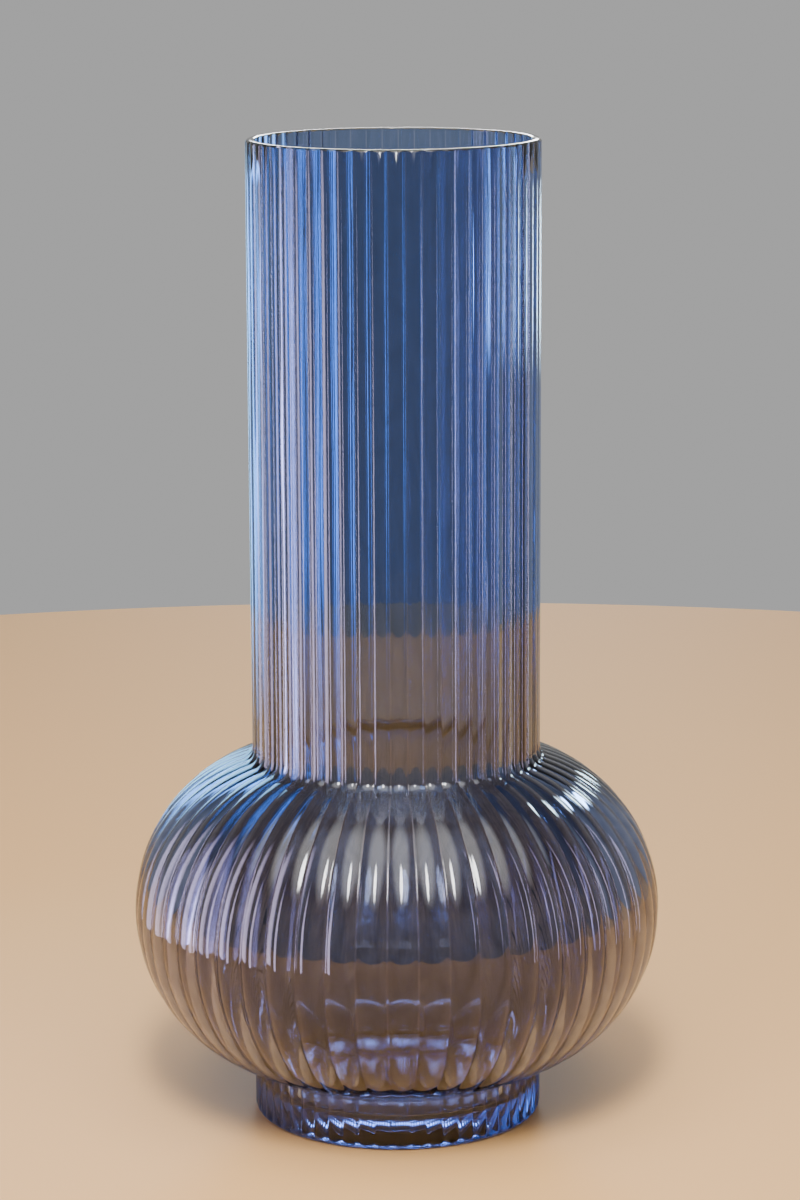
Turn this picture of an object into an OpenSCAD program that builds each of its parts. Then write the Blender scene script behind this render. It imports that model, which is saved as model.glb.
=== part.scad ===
// Reeded glass vase: a straight neck over a squashed round bulb that stands on a short foot.
//
// The vase is one blown piece of glass. It is split here into the zones of that one piece: rim,
// neck, shoulder, belly, foot and floor. They meet face to face on level planes and share the
// same reeds, so every groove runs unbroken from the rim down to the foot.
//
// Origin: centre of the face it stands on. +Z points up and out of the mouth. Millimetres.

/* [Glass] */
// Height from the standing face to the rim
vase_h = 300; // [270:1:360]
// Number of reeds round the vase
reeds = 54; // [48:2:64]
// Depth of the groove between two reeds, in percent of the outside radius there
groove_percent = 1.85; // [1:0.05:2.5]
// Wall thickness from the crest of a reed to the smooth inside
wall_t = 2.8; // [2.6:0.1:3.6]

/* [Neck] */
// Outside diameter of the neck, over the reeds
neck_d = 88; // [80:0.5:94]
// Radius of the hollow where the neck turns out into the shoulder
neck_hollow_r = 3.5; // [2:0.5:6]
// Height of the rim band
rim_h = 3; // [2:0.5:6]
// Width of the bevel that is ground round the outside of the rim
rim_bevel = 0.7; // [0.3:0.1:1]

/* [Bulb] */
// Greatest outside diameter of the bulb, over the reeds
bulb_d = 161.2; // [156:0.2:172]
// Radius of the bulb's rounded side, seen in section
bulb_side_r = 49.8; // [46:0.2:52]
// Height of the widest part of the bulb
bulb_z = 64.6; // [64:0.2:72]

/* [Foot] */
// Outside diameter of the foot, over the reeds
foot_d = 88.4; // [82:0.2:94]
// Radius of the hollow where the foot meets the belly
foot_hollow_r = 2; // [1:0.5:3]
// Radius of the smooth rounded edge that the foot stands on
foot_edge_r = 2.4; // [1.5:0.1:3]
// Thickness of the glass floor at its edge
floor_t = 8; // [5:0.5:9]
// Radius of the shallow dished recess under the floor
punt_r = 35; // [30:1:36]
// Depth of that recess at its centre
punt_depth = 2.5; // [1:0.5:3]

/* [Hidden] */

GLASS = [0.30, 0.41, 0.58, 0.6];
// Straight facets across one reed and along the rounded stretches of the bulb
REED_STEPS = 4;
SIDE_STEPS = 7;
NECK_HOLLOW_STEPS = 4;
FOOT_HOLLOW_STEPS = 3;
// Overshoot of a cutting shape past the face it cuts
CUT = 1;
// How far outside the crests the foot's rounded edge starts
EDGE_CLEAR = 0.2;
$fn = 96;

neck_r = neck_d / 2;
foot_r = foot_d / 2;
bulb_axis_r = bulb_d / 2 - bulb_side_r;
reed_a = 360 / reeds;

// One reed is an arc of a circle. On a vase of radius 1 that circle's centre is lobe_axis_r from
// the middle, placed so that neighbouring arcs meet at the bottom of the groove.
groove_r = 1 - groove_percent / 100;
lobe_axis_r = (1 - pow(groove_r, 2)) / (2 * (1 - groove_r * cos(reed_a / 2)));
lobe_r = 1 - lobe_axis_r;
// Outside radius at angle a from the crest of a reed, for a crest of radius 1
function reed_profile(a) =
    lobe_axis_r * cos(a) + sqrt(pow(lobe_r, 2) - pow(lobe_axis_r * sin(a), 2));

// Where a hollow of radius f against an upright wall of radius r touches the bulb's side, as an
// angle up or down from the bulb's widest level, and how far the hollow's centre is from there
function touch_a(r, f) = acos((r + f - bulb_axis_r) / (bulb_side_r + f));
function hollow_rise(r, f) = (bulb_side_r + f) * sin(touch_a(r, f));

neck_touch_a = touch_a(neck_r, neck_hollow_r);
foot_touch_a = touch_a(foot_r, foot_hollow_r);
neck_z = bulb_z + hollow_rise(neck_r, neck_hollow_r);
foot_h = bulb_z - hollow_rise(foot_r, foot_hollow_r);

// A station is the wall cut across at one place: its outer point and its inner point, each [r, z],
// at angle a round the centre of that stretch's curve
function station(centre, outer_r, inner_r, a) =
    [for (r = [outer_r, inner_r]) centre + r * [cos(a), sin(a)]];
function side_station(a) =
    station([bulb_axis_r, bulb_z], bulb_side_r, bulb_side_r - wall_t, a);
function neck_station(a) =
    station([neck_r + neck_hollow_r, neck_z], neck_hollow_r, neck_hollow_r + wall_t, a);
function foot_station(a) =
    station([foot_r + foot_hollow_r, foot_h], foot_hollow_r, foot_hollow_r + wall_t, a);

// A closed wall through a list of stations, from the lowest to the highest, with the reeds on its
// outside and a smooth inside that has one facet to a reed
module reeded_wall(stations) {
    levels = len(stations);
    outer_n = reeds * REED_STEPS;
    inner_start = levels * outer_n;
    outer_points = [
        for (s = stations, i = [0 : outer_n - 1])
            let (
                a = i * reed_a / REED_STEPS,
                off_crest = reed_a * ((i / REED_STEPS + 0.5) % 1 - 0.5),
                r = s[0][0] * reed_profile(off_crest)
            )
            [r * cos(a), r * sin(a), s[0][1]]
    ];
    inner_points = [
        for (s = stations, i = [0 : reeds - 1])
            [s[1][0] * cos(i * reed_a), s[1][0] * sin(i * reed_a), s[1][1]]
    ];
    function outer(level, i) = level * outer_n + i % outer_n;
    function inner(level, i) = inner_start + level * reeds + i % reeds;
    outer_faces = [
        for (v = [0 : levels - 2], i = [0 : outer_n - 1])
            [outer(v, i), outer(v + 1, i), outer(v + 1, i + 1), outer(v, i + 1)]
    ];
    inner_faces = [
        for (v = [0 : levels - 2], i = [0 : reeds - 1])
            [inner(v, i), inner(v, i + 1), inner(v + 1, i + 1), inner(v + 1, i)]
    ];
    bottom_faces = [
        for (i = [0 : reeds - 1])
            [
                inner(0, i + 1),
                inner(0, i),
                for (k = [0 : REED_STEPS]) outer(0, i * REED_STEPS + k)
            ]
    ];
    top_faces = [
        for (i = [0 : reeds - 1])
            [
                inner(levels - 1, i),
                inner(levels - 1, i + 1),
                for (k = [REED_STEPS : -1 : 0]) outer(levels - 1, i * REED_STEPS + k)
            ]
    ];
    polyhedron(
        points = concat(outer_points, inner_points),
        faces = concat(outer_faces, inner_faces, bottom_faces, top_faces)
    );
}

// The outline of a straight reeded stretch whose crests lie on radius r, filled to the middle
module reeded_disc(r) {
    circle(r * lobe_axis_r);
    for (i = [0 : reeds - 1])
        rotate(i * reed_a)
            translate([r * lobe_axis_r, 0])
                circle(r * lobe_r);
}

module reeded_tube(r, h) {
    linear_extrude(h)
        difference() {
            reeded_disc(r);
            circle(r - wall_t);
        }
}

// Top of the neck: cut level, with a bevel ground round the outside
module rim() {
    color(GLASS)
        translate([0, 0, vase_h - rim_h])
            intersection() {
                reeded_tube(neck_r, rim_h);
                union() {
                    cylinder(h = rim_h - rim_bevel, r = neck_r + CUT);
                    translate([0, 0, rim_h - rim_bevel])
                        cylinder(h = rim_bevel, r1 = neck_r, r2 = neck_r - rim_bevel);
                }
            }
}

// Straight reeded tube between the shoulder and the rim
module neck() {
    color(GLASS)
        translate([0, 0, neck_z])
            reeded_tube(neck_r, vase_h - rim_h - neck_z);
}

// Upper half of the bulb, from its widest level in to the foot of the neck
module shoulder() {
    color(GLASS)
        reeded_wall([
            for (k = [0 : SIDE_STEPS])
                side_station(neck_touch_a * k / SIDE_STEPS),
            for (k = [1 : NECK_HOLLOW_STEPS])
                neck_station(180 + neck_touch_a * (1 - k / NECK_HOLLOW_STEPS))
        ]);
}

// Lower half of the bulb, from the top of the foot out to the widest level
module belly() {
    color(GLASS)
        reeded_wall([
            for (k = [0 : FOOT_HOLLOW_STEPS - 1])
                foot_station(180 - foot_touch_a * k / FOOT_HOLLOW_STEPS),
            for (k = [0 : SIDE_STEPS])
                side_station(-foot_touch_a * (1 - k / SIDE_STEPS))
        ]);
}

// Short upright ring of reeds under the belly. A smooth rounded edge trims the reeds' lower ends,
// and it starts just outside their crests so that it cuts every one of them.
module foot() {
    edge_axis_r = foot_r + EDGE_CLEAR - foot_edge_r;
    color(GLASS)
        intersection() {
            reeded_tube(foot_r, foot_h);
            rotate_extrude()
                union() {
                    translate([0, foot_edge_r])
                        square([foot_r + EDGE_CLEAR, foot_h + CUT]);
                    square([edge_axis_r, foot_h]);
                    translate([edge_axis_r, foot_edge_r])
                        circle(foot_edge_r);
                }
        }
}

// Thick glass floor inside the foot, dished underneath so that the vase stands on a ring
module floor() {
    dish_r = (pow(punt_r, 2) + pow(punt_depth, 2)) / (2 * punt_depth);
    color(GLASS)
        difference() {
            cylinder(h = floor_t, r = foot_r - wall_t);
            translate([0, 0, punt_depth - dish_r])
                sphere(dish_r);
        }
}

rim();
neck();
shoulder();
belly();
foot();
floor();
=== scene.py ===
"""Looks of the reeded glass vase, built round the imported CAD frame. Metres, +Z up."""

import math

import bpy
import numpy as np
from mathutils import Matrix, Vector


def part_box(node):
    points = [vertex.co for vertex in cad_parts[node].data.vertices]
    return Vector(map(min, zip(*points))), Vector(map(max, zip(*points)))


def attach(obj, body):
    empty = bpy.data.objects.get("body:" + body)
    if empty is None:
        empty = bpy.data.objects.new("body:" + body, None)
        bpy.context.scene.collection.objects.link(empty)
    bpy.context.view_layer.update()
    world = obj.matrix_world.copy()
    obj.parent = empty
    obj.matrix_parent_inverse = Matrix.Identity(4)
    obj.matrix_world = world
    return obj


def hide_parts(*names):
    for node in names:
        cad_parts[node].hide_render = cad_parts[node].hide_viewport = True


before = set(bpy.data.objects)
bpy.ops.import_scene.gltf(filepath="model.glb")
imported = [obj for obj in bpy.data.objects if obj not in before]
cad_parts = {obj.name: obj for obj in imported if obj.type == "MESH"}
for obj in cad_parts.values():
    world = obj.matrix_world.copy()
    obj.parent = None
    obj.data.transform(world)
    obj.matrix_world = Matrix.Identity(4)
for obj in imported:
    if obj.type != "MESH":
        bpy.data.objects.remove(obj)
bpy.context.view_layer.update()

MM = 0.001

# ---------------------------------------------------------------- sizes

# From the boxes of the CAD nodes
VASE_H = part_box("rim")[1].z
NECK_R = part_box("neck")[1].x
NECK_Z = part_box("neck")[0].z
BULB_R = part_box("belly")[1].x
BULB_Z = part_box("shoulder")[0].z
FOOT_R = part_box("foot")[1].x
FOOT_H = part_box("foot")[1].z
FLOOR_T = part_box("floor")[1].z
WALL_T = FOOT_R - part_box("floor")[1].x

# The rest of the vase's section, which no box gives
REEDS = 54
GROOVE_DEPTH = 0.0185  # share of the radius there
BULB_SIDE_R = 49.8 * MM
NECK_HOLLOW_R = 3.5 * MM
FOOT_HOLLOW_R = 2 * MM
FOOT_EDGE_R = 2.4 * MM
RIM_BEVEL = 0.7 * MM
RIM_SOFT_EDGE = 0.3 * MM  # round at the inner edge of the rim
ROUND_MIDDLE = 0.3  # how far in from its corner a round's middle lies, as a share of its radius
PUNT_R = 35 * MM
PUNT_DEPTH = 2.5 * MM
FLOOR_CORNER_R = 5 * MM
BULB_AXIS_R = BULB_R - BULB_SIDE_R

# Points round the vase: a reed's outline takes many, the smooth inside fewer
REED_POINTS = 12
OUTER_N = REEDS * REED_POINTS
INNER_N = OUTER_N // 2
REED_PITCH = 2 * math.pi / REEDS
CROWDING = 0.6  # how far a reed's points crowd towards its grooves, from 0 to 1

# Where the rings of points lie, as shares of a radius or height and as degrees round an edge
PUNT_SHARES = (0.1, 0.25, 0.4, 0.55, 0.7, 0.85, 0.95)
FOOT_EDGE_DEGREES = (12, 25, 38, 50, 62, 75, 90)
FOOT_RINGS = 4
HOLLOW_RINGS = 5
BULB_OUTSIDE_RINGS, BULB_INSIDE_RINGS = 40, 36
NECK_OUTSIDE_RINGS, NECK_INSIDE_RINGS = 16, 28
BEVEL_SHARES = (0.3, 0.6, 0.85, 1)
FLOOR_CORNER_DEGREES = (0, 20, 40, 60, 75)
FLOOR_SHARES = (1, 0.8, 0.6, 0.4, 0.2, 0.08)

# Unevenness of the blown inside, which the mould doesn't touch
SEED = 7
WAVES = 14
WAVE_TURNS = (3, 46)  # crests in one turn of the vase: at least the first, fewer than the second
WAVE_CLIMB = 110  # radians a metre up the vase, at most, either way
WAVINESS = 0.025 * MM


def placed(name, data):
    """A new object in the scene."""
    thing = bpy.data.objects.new(name, data)
    bpy.context.scene.collection.objects.link(thing)
    return thing


# ---------------------------------------------------------------- camera

# It stands before the vase, tipped down, and then goes round the vase by its azimuth
CAMERA_DISTANCE = 3.670 * VASE_H
CAMERA_HEIGHT = 1.287 * VASE_H
CAMERA_PITCH = math.radians(11.59)
CAMERA_YAW = math.radians(-0.072)
CAMERA_ROLL = math.radians(-0.26)
CAMERA_AZIMUTH = math.radians(2.1)
LENS_MM = 111
SENSOR_MM = 36


def make_camera():
    data = bpy.data.cameras.new("camera")
    data.sensor_width = SENSOR_MM
    data.lens = LENS_MM
    camera = placed("camera", data)
    looking_level = Matrix.Rotation(math.pi / 2 - CAMERA_PITCH, 4, "X")
    turn = Matrix.Rotation(CAMERA_YAW, 4, "Z")
    roll = Matrix.Rotation(CAMERA_ROLL, 4, "Z")
    stand_off = Matrix.Translation((0, -CAMERA_DISTANCE, CAMERA_HEIGHT))
    round_vase = Matrix.Rotation(CAMERA_AZIMUTH, 4, "Z")
    camera.matrix_world = round_vase @ stand_off @ turn @ looking_level @ roll
    bpy.context.scene.camera = camera


# ---------------------------------------------------------------- shape of the glass

GROOVE_ROUNDING = 0.0035  # of the groove's bottom, on a vase of radius 1


def reed_arc():
    """Centre and radius of one reed's arc, on a vase of radius 1."""
    groove_r = 1 - GROOVE_DEPTH
    half = math.pi / REEDS
    axis_r = (1 - groove_r**2) / (2 * (1 - groove_r * math.cos(half)))
    return axis_r, 1 - axis_r


REED_AXIS_R, REED_ARC_R = reed_arc()


def reeds(angle):
    """Outside radius at an angle, for crests of radius 1, with a small round in each groove."""
    off = (angle / REED_PITCH + 0.5) % 1 - 0.5
    arcs = []
    for shift in (0, 1):  # the reed at that angle, and the nearer of its neighbours
        a = REED_PITCH * (np.abs(off) - shift)
        inside = np.maximum(REED_ARC_R**2 - (REED_AXIS_R * np.sin(a)) ** 2, 0)
        arcs.append(REED_AXIS_R * np.cos(a) + np.sqrt(inside))
    own, next_one = arcs
    # The outer of the two arcs, with the corner where they meet rounded
    blend = np.sqrt(((own - next_one) / 2) ** 2 + GROOVE_ROUNDING**2)
    return np.minimum((own + next_one) / 2 + blend, 1)


def turned(angle, r, z):
    """Points at a radius and a height, one at each angle."""
    return np.stack([r * np.cos(angle), r * np.sin(angle), z + 0 * angle], axis=1)


def round_angles(count):
    """Angles evenly spaced round the axis."""
    return np.arange(count) * 2 * math.pi / count


def outer_ring(r, z, limit=None):
    """A ring on the reeded outside, trimmed to a smooth circle where limit says."""
    even = round_angles(OUTER_N)
    angle = even + CROWDING * np.sin(REEDS * even) / REEDS
    radius = r * reeds(angle)
    if limit is not None:
        radius = np.minimum(radius, limit)
    return turned(angle, radius, z)


def inner_ring(r, z):
    """A plain circle, for the inside and the underside."""
    return turned(round_angles(INNER_N), r, z)


def make_waves():
    """Crests round the vase, radians a metre up it, and phase, of each wave on the inside."""
    rng = np.random.default_rng(SEED)
    turns = rng.integers(*WAVE_TURNS, WAVES)
    climb = rng.uniform(-WAVE_CLIMB, WAVE_CLIMB, WAVES)
    phase = rng.uniform(0, 2 * math.pi, WAVES)
    return list(zip(turns, climb, phase))


INSIDE_WAVES = make_waves()


def blown_ring(r, z):
    """A ring on the inside, as uneven as blown glass is."""
    angle = round_angles(INNER_N)
    uneven = sum(np.sin(n * angle + climb * z + phase) for n, climb, phase in INSIDE_WAVES)
    return turned(angle, r + WAVINESS * uneven / math.sqrt(WAVES), z)


def touch_angle(wall_r, hollow_r):
    """How far up or down the bulb's side a hollow against an upright wall touches it."""
    return math.acos((wall_r + hollow_r - BULB_AXIS_R) / (BULB_SIDE_R + hollow_r))


def bulb_section(offset, side_rings):
    """The section from the top of the foot to the bottom of the neck, offset inwards."""
    low = touch_angle(FOOT_R, FOOT_HOLLOW_R)
    high = touch_angle(NECK_R, NECK_HOLLOW_R)
    points = []
    for a in np.linspace(math.pi, math.pi - low, HOLLOW_RINGS, endpoint=False):
        r = FOOT_HOLLOW_R + offset
        points.append((FOOT_R + FOOT_HOLLOW_R + r * math.cos(a), FOOT_H + r * math.sin(a)))
    for a in np.linspace(-low, high, side_rings, endpoint=False):
        r = BULB_SIDE_R - offset
        points.append((BULB_AXIS_R + r * math.cos(a), BULB_Z + r * math.sin(a)))
    for a in np.linspace(math.pi + high, math.pi, HOLLOW_RINGS, endpoint=False):
        r = NECK_HOLLOW_R + offset
        points.append((NECK_R + NECK_HOLLOW_R + r * math.cos(a), NECK_Z + r * math.sin(a)))
    return points


def outside_rings():
    """From the middle of the underside, out round the foot and up to the rim."""
    rings = [turned(np.zeros(1), np.zeros(1), PUNT_DEPTH)]
    for r in PUNT_R * np.array(PUNT_SHARES):
        rings.append(inner_ring(r, PUNT_DEPTH * (1 - (r / PUNT_R) ** 2)))
    rings.append(inner_ring(PUNT_R, 0))
    rings.append(inner_ring(FOOT_R - FOOT_EDGE_R, 0))
    for a in np.radians(FOOT_EDGE_DEGREES):
        edge = FOOT_R - FOOT_EDGE_R * (1 - math.sin(a))
        rings.append(outer_ring(FOOT_R, FOOT_EDGE_R * (1 - math.cos(a)), limit=edge))
    for z in np.linspace(FOOT_EDGE_R, FOOT_H, FOOT_RINGS + 2)[1:-1]:
        rings.append(outer_ring(FOOT_R, z))
    for r, z in bulb_section(0, BULB_OUTSIDE_RINGS):
        rings.append(outer_ring(r, z))
    bevel_z = VASE_H - RIM_BEVEL
    for z in np.linspace(NECK_Z, bevel_z, NECK_OUTSIDE_RINGS):
        rings.append(outer_ring(NECK_R, z))
    for t in BEVEL_SHARES:
        rings.append(outer_ring(NECK_R, bevel_z + t * RIM_BEVEL, limit=NECK_R - t * RIM_BEVEL))
    return rings


def inside_rings():
    """From the rim down the smooth inside to the middle of the floor."""
    bore_r = NECK_R - WALL_T
    middle = ROUND_MIDDLE * RIM_SOFT_EDGE
    rings = [inner_ring(bore_r + RIM_SOFT_EDGE, VASE_H)]
    rings.append(inner_ring(bore_r + middle, VASE_H - middle))
    rings.append(inner_ring(bore_r, VASE_H - RIM_SOFT_EDGE))
    for z in np.linspace(VASE_H - RIM_BEVEL, NECK_Z, NECK_INSIDE_RINGS):
        rings.append(blown_ring(bore_r, z))
    for r, z in reversed(bulb_section(WALL_T, BULB_INSIDE_RINGS)):
        rings.append(blown_ring(r, z))
    corner_r = FOOT_R - WALL_T - FLOOR_CORNER_R
    for a in np.radians(FLOOR_CORNER_DEGREES):
        r = corner_r + FLOOR_CORNER_R * math.cos(a)
        rings.append(inner_ring(r, FLOOR_T + FLOOR_CORNER_R * (1 - math.sin(a))))
    for t in FLOOR_SHARES:
        rings.append(inner_ring(corner_r * t, FLOOR_T))
    rings.append(turned(np.zeros(1), np.zeros(1), FLOOR_T))
    return rings


def loft(rings):
    """Points and faces of the closed skin through rings whose counts are equal, halve or double."""
    points = np.concatenate(rings)
    faces = []
    start = 0
    for lower, upper in zip(rings, rings[1:]):
        n, m = len(lower), len(upper)
        a, b = start, start + n
        for i in range(max(n, m)):
            j = (i + 1) % max(n, m)  # next to i on the larger ring
            if n == 1:
                faces.append((a, b + j, b + i))
            elif m == 1:
                faces.append((a + i, a + j, b))
            elif n == m:
                faces.append((a + i, a + j, b + j, b + i))
            elif n > m:
                faces.append((a + i, a + j, b + j // 2 % m))
                if i % 2:
                    faces.append((a + i, b + j // 2 % m, b + i // 2))
            else:
                faces.append((a + i // 2, b + j, b + i))
                if i % 2:
                    faces.append((a + i // 2, a + j // 2 % n, b + j))
        start += n
    return points, faces


# Each point of the skin carries these shares, from 0 to 1, for the material to read. The points of
# the outside come first.

UNDER_FLOOR_R = PUNT_R + 1 * MM  # just past the edge of the recess
CUT_Z = VASE_H - 0.99 * RIM_BEVEL  # just above the foot of the bevel


def groove_share(points, outside_count):
    """How deep in a groove each point lies. It is 0 on a crest, inside and under the floor."""
    angle = np.arctan2(points[:, 1], points[:, 0])
    share = (1 - reeds(angle)) / GROOVE_DEPTH
    share[outside_count:] = 0
    share[np.hypot(points[:, 0], points[:, 1]) <= UNDER_FLOOR_R] = 0
    return share


def stretch_share(points):
    """How far the glass was blown out at each point. It is 1 where the bulb is widest."""
    r = np.hypot(points[:, 0], points[:, 1])
    return np.clip((r - NECK_R) / (BULB_R - NECK_R), 0, 1)


def inside_share(points, outside_count):
    """The same, but 0 on the outside, which the mould smooths."""
    share = stretch_share(points)
    share[:outside_count] = 0
    return share


def cut_share(points):
    """1 on the ground rim and its bevel, and 0 elsewhere."""
    return points[:, 2] > CUT_Z


def make_vase():
    """The whole vase as one closed skin of glass."""
    outside, inside = outside_rings(), inside_rings()
    points, faces = loft(outside + inside)
    mesh = bpy.data.meshes.new("glass_vase")
    mesh.from_pydata(points.tolist(), [], faces)
    mesh.shade_smooth()
    outside_count = sum(len(ring) for ring in outside)
    for name, share in (
        ("groove", groove_share(points, outside_count)),
        ("stretch", stretch_share(points)),
        ("inside", inside_share(points, outside_count)),
        ("cut", cut_share(points)),
    ):
        mesh.attributes.new(name, "FLOAT", "POINT").data.foreach_set("value", share)
    mesh.materials.append(glass_material())
    vase = placed("glass_vase", mesh)
    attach(vase, "root")
    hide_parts("rim", "neck", "shoulder", "belly", "foot", "floor")


# ---------------------------------------------------------------- materials

# Light that one wall lets through, with a painted highlight in the grooves and painted shade at the
# rim
TINT = (0.27, 0.35, 0.56, 1)  # at the neck
STRIA_TINT = (0.23, 0.31, 0.50, 1)
THIN_TINT = (0.29, 0.31, 0.45, 1)  # where the bulb is blown thin
THIN_STRIA_TINT = (0.19, 0.20, 0.32, 1)
GROOVE_HIGHLIGHT_TINT = (0.80, 0.72, 0.80, 1)  # painted highlight down the bottom of each groove
RIM_SHADE_TINT = (0.16, 0.17, 0.12, 1)  # painted shade on the ground rim and its bevel, darkening its reflections
HIGHLIGHT_FROM, HIGHLIGHT_TO = 0.7, 0.9  # how deep in a groove the painted highlight starts, and where it is full

# What the glass itself takes out along the way, which shows in the thick floor
BODY_TINT = (0.45, 0.60, 0.85, 1)
BODY_DENSITY = 45

GLASS_ROUGHNESS = 0.01
GLASS_IOR = 1.51

# Striae are contour lines of a noise
STRIA_STRETCH = (50, 50, 16)  # its patches a metre, taller than they are wide
STRIA_DETAIL = 2
STRIA_CONTOURS = 60
STRIA_FROM = -0.2  # each starts where a wave, which runs from -1 to 1, passes this
STRIA_HEIGHT = 0.012 * MM

FLOOR_COLOUR = (0.84, 0.46, 0.16, 1)
FLOOR_ROUGHNESS = 0.7

# Colour sockets of a Mix node, by number because its sockets for other data share their names
MIX_FIRST, MIX_SECOND, MIX_RESULT = 6, 7, 2


def new_material(name):
    material = bpy.data.materials.new(name)
    material.use_nodes = True
    nodes = material.node_tree.nodes
    return material, nodes, material.node_tree.links, nodes["Principled BSDF"]


def stretched_noise(nodes, links, stretch, detail):
    """Noise that follows the glass, with its own scale along each axis."""
    place = nodes.new("ShaderNodeTexCoord")
    mapping = nodes.new("ShaderNodeMapping")
    mapping.inputs["Scale"].default_value = stretch
    noise = nodes.new("ShaderNodeTexNoise")
    noise.inputs["Scale"].default_value = 1
    noise.inputs["Detail"].default_value = detail
    links.new(place.outputs["Object"], mapping.inputs["Vector"])
    links.new(mapping.outputs["Vector"], noise.inputs["Vector"])
    return noise.outputs["Fac"]


def contour_lines(nodes, links, height, count):
    """Fine lines along the levels of a height, like striae in blown glass, from 0 to 1."""
    spread = nodes.new("ShaderNodeMath")
    spread.operation = "MULTIPLY"
    spread.inputs[1].default_value = count
    wave = nodes.new("ShaderNodeMath")
    wave.operation = "SINE"
    lines = nodes.new("ShaderNodeMapRange")
    lines.inputs["From Min"].default_value = STRIA_FROM
    links.new(height, spread.inputs[0])
    links.new(spread.outputs["Value"], wave.inputs[0])
    links.new(wave.outputs["Value"], lines.inputs["Value"])
    return lines.outputs["Result"]


def mixed(nodes, links, share, first, second):
    """One colour giving way to another by a share. Each is a plain value or a node's output."""
    mix = nodes.new("ShaderNodeMix")
    mix.data_type = "RGBA"
    links.new(share, mix.inputs["Factor"])
    for index, colour in ((MIX_FIRST, first), (MIX_SECOND, second)):
        if isinstance(colour, tuple):
            mix.inputs[index].default_value = colour
        else:
            links.new(colour, mix.inputs[index])
    return mix.outputs[MIX_RESULT]


def share_of(nodes, name):
    """One of the shares that each point of the skin carries."""
    attribute = nodes.new("ShaderNodeAttribute")
    attribute.attribute_name = name
    return attribute.outputs["Fac"]


def glass_material():
    """Clear blue glass with faint striae, smokier where it is blown thin, with a painted highlight
    down the bottom of each groove and painted shade on the rim.
    """
    material, nodes, links, shader = new_material("blue_glass")
    shader.inputs["Transmission Weight"].default_value = 1
    shader.inputs["Roughness"].default_value = GLASS_ROUGHNESS
    shader.inputs["IOR"].default_value = GLASS_IOR

    noise = stretched_noise(nodes, links, STRIA_STRETCH, STRIA_DETAIL)
    striae = contour_lines(nodes, links, noise, STRIA_CONTOURS)
    # Painted highlight: the glass turns paler towards the bottom of each groove
    pale = nodes.new("ShaderNodeMapRange")
    pale.interpolation_type = "SMOOTHSTEP"
    pale.inputs["From Min"].default_value = HIGHLIGHT_FROM
    pale.inputs["From Max"].default_value = HIGHLIGHT_TO
    links.new(share_of(nodes, "groove"), pale.inputs["Value"])
    thick = mixed(nodes, links, striae, TINT, STRIA_TINT)
    blown_thin = mixed(nodes, links, striae, THIN_TINT, THIN_STRIA_TINT)
    tint = mixed(nodes, links, share_of(nodes, "stretch"), thick, blown_thin)
    tint = mixed(nodes, links, pale.outputs["Result"], tint, GROOVE_HIGHLIGHT_TINT)
    # Painted shade: the ground rim and its bevel are darkened
    tint = mixed(nodes, links, share_of(nodes, "cut"), tint, RIM_SHADE_TINT)
    links.new(tint, shader.inputs["Base Color"])

    relief = nodes.new("ShaderNodeMath")
    relief.operation = "MULTIPLY"
    links.new(striae, relief.inputs[0])
    links.new(share_of(nodes, "inside"), relief.inputs[1])
    bump = nodes.new("ShaderNodeBump")
    bump.inputs["Distance"].default_value = STRIA_HEIGHT
    links.new(relief.outputs["Value"], bump.inputs["Height"])
    links.new(bump.outputs["Normal"], shader.inputs["Normal"])

    body = nodes.new("ShaderNodeVolumeAbsorption")
    body.inputs["Color"].default_value = BODY_TINT
    body.inputs["Density"].default_value = BODY_DENSITY
    links.new(body.outputs["Volume"], nodes["Material Output"].inputs["Volume"])
    return material


def floor_material():
    material, *_, shader = new_material("studio_floor")
    shader.inputs["Base Color"].default_value = FLOOR_COLOUR
    shader.inputs["Roughness"].default_value = FLOOR_ROUGHNESS
    return material


# ---------------------------------------------------------------- studio

FLOOR_R = 0.78
FLOOR_THICKNESS = 0.03
FLOOR_EDGE_R = 0.004
FLOOR_GAP = 0.1 * MM  # air under the vase, so that its foot mirrors inside as it does on a table
FLOOR_N = 256
FLOOR_EDGE_DEGREES = (0, 30, 60, 90)
FLOOR_RING_RADII = (0.5, 0.3, 0.15)

STANDING_DISTANCE = 0.3
SOFT_FROM = 0.4  # a light fades from this share of the way to its rim
LIGHT_MIDDLE = (0.5, 0.5, 0)  # in the light's own coordinates, which run from 0 to 1 across it
LIGHT_RIM = 0.5
LILAC = (0.78, 0.66, 1)
SKY = (0.22, 0.58, 1)
PALE_SKY = (0.6, 0.84, 1)

# Grey of the studio air, and the sines of the elevations between which it darkens
LOW_AIR, LOW_UP_TO = (0.42, 0.42, 0.42, 1), 0.35
HIGH_AIR, HIGH_FROM = (0.10, 0.10, 0.11, 1), 0.6


def make_floor():
    """A pale round floor, a hair below the vase."""
    angle = round_angles(FLOOR_N)
    rings = [turned(np.zeros(1), np.zeros(1), -FLOOR_THICKNESS)]
    rings.append(turned(angle, FLOOR_R, -FLOOR_THICKNESS))
    for a in np.radians(FLOOR_EDGE_DEGREES):
        r = FLOOR_R - FLOOR_EDGE_R * (1 - math.cos(a))
        rings.append(turned(angle, r, -FLOOR_GAP - FLOOR_EDGE_R * (1 - math.sin(a))))
    for r in FLOOR_RING_RADII:
        rings.append(turned(angle, r, -FLOOR_GAP))
    rings.append(turned(np.zeros(1), np.zeros(1), -FLOOR_GAP))
    points, faces = loft(rings)
    mesh = bpy.data.meshes.new("studio_floor")
    mesh.from_pydata(points.tolist(), [], faces)
    mesh.materials.append(floor_material())
    studio = placed("studio_floor", mesh)


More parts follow.
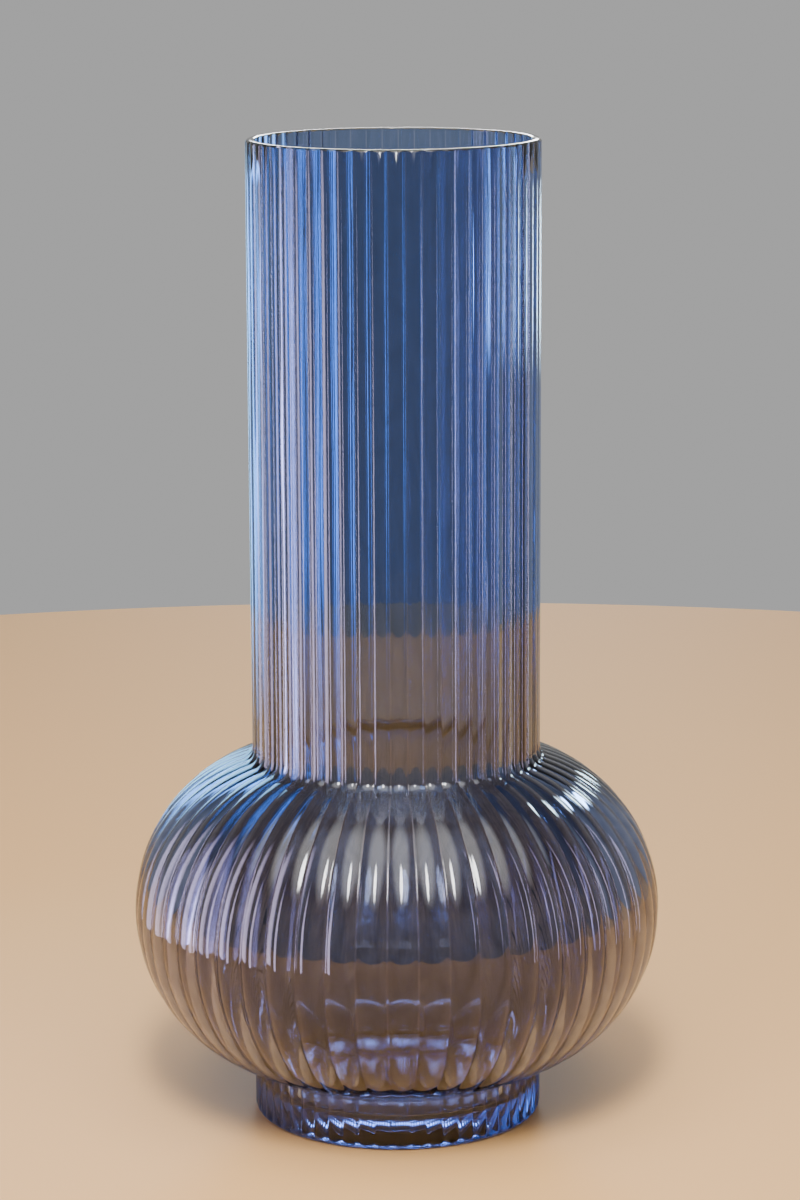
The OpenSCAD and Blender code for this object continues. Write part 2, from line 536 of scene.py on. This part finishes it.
def soften(data):
    """Let a light fade from its middle to its rim, as a soft box does."""
    data.use_nodes = True
    nodes, links = data.node_tree.nodes, data.node_tree.links
    place = nodes.new("ShaderNodeNewGeometry")
    from_middle = nodes.new("ShaderNodeVectorMath")
    from_middle.operation = "DISTANCE"
    from_middle.inputs[1].default_value = LIGHT_MIDDLE
    fade = nodes.new("ShaderNodeMapRange")
    fade.interpolation_type = "SMOOTHSTEP"
    fade.inputs["From Min"].default_value = LIGHT_RIM * SOFT_FROM
    fade.inputs["From Max"].default_value = LIGHT_RIM
    fade.inputs["To Min"].default_value = 1
    fade.inputs["To Max"].default_value = 0
    links.new(place.outputs["Parametric"], from_middle.inputs[0])
    links.new(from_middle.outputs["Value"], fade.inputs["Value"])
    links.new(fade.outputs["Result"], nodes["Emission"].inputs["Strength"])


def soft_light(name, middle, facing, size, radiance, colour):
    """A round or oval soft box with its middle at a point, turned to face along a direction."""
    data = bpy.data.lights.new(name, "AREA")
    data.shape = "ELLIPSE"
    data.size, data.size_y = size
    data.energy = radiance * math.pi * (math.pi / 4 * size[0] * size[1])
    data.color = colour
    soften(data)
    light = placed(name, data)
    light.location = middle
    light.rotation_euler = (-facing).to_track_quat("Z", "Y").to_euler()
    light.visible_camera = False
    return light


def standing_light(name, azimuth, spread, heights, radiance, colour=(1, 1, 1)):
    """An upright light that the glass mirrors and bends, and that adds nothing to the floor.

    Azimuth 0 is the camera's side and 90 the right. Spread is the angle the light fills there.
    What is below the floor is hidden by it, so a light that starts there has a level lower end.
    """
    a = math.radians(azimuth)
    away = Vector((math.sin(a), -math.cos(a), 0))
    low, high = heights
    middle = away * STANDING_DISTANCE + Vector((0, 0, (low + high) / 2))
    width = 2 * STANDING_DISTANCE * math.tan(math.radians(spread) / 2)
    light = soft_light(name, middle, -away, (width, high - low), radiance, colour)
    light.visible_diffuse = False


def hanging_light(name, azimuth, elevation, distance, size, radiance, colour=(1, 1, 1)):
    """A light above the table that faces the middle of the vase."""
    a, e = math.radians(azimuth), math.radians(elevation)
    away = Vector((math.sin(a) * math.cos(e), -math.cos(a) * math.cos(e), math.sin(e)))
    middle = Vector((0, 0, VASE_H / 2)) + away * distance
    return soft_light(name, middle, -away, size, radiance, colour)


def make_lights():
    # name, azimuth, spread, heights, radiance, colour
    standing_light("window_left", -87, 32, (-0.3, 0.42), 9.5, LILAC)
    standing_light("window_left_front", -56, 12, (-0.25, 0.3), 13, LILAC)
    standing_light("window_right", 88, 6, (-0.1, 0.42), 9, LILAC)
    standing_light("window_right_front", 62, 4, (0.02, 0.3), 9, LILAC)
    standing_light("sky_left", -149, 22, (0.03, 0.34), 8, SKY)
    standing_light("sky_right", 139, 9, (0.185, 0.275), 45, PALE_SKY)
    # name, azimuth, elevation, distance, size, radiance
    hanging_light("front_top", 0, 46, 1.3, (0.3, 0.75), 75)
    hanging_light("overhead", 0, 62, 1.7, (2.6, 2.6), 4.5)
    back_window = hanging_light("back_window", 180, 13.2, 3.1, (1.2, 0.6), 30)
    back_window.visible_diffuse = False  # it shows in the glass but adds nothing to the floor


def make_air():
    """Even grey all round, darker overhead."""
    world = bpy.data.worlds.new("studio_air")
    world.use_nodes = True
    nodes, links = world.node_tree.nodes, world.node_tree.links
    direction = nodes.new("ShaderNodeTexCoord")
    split = nodes.new("ShaderNodeSeparateXYZ")
    ramp = nodes.new("ShaderNodeValToRGB")
    links.new(direction.outputs["Generated"], split.inputs[0])
    links.new(split.outputs["Z"], ramp.inputs["Fac"])
    links.new(ramp.outputs["Color"], nodes["Background"].inputs["Color"])
    low, high = ramp.color_ramp.elements
    low.position, low.color = LOW_UP_TO, LOW_AIR
    high.position, high.color = HIGH_FROM, HIGH_AIR
    bpy.context.scene.world = world


make_camera()
make_vase()
make_floor()
make_lights()
make_air()
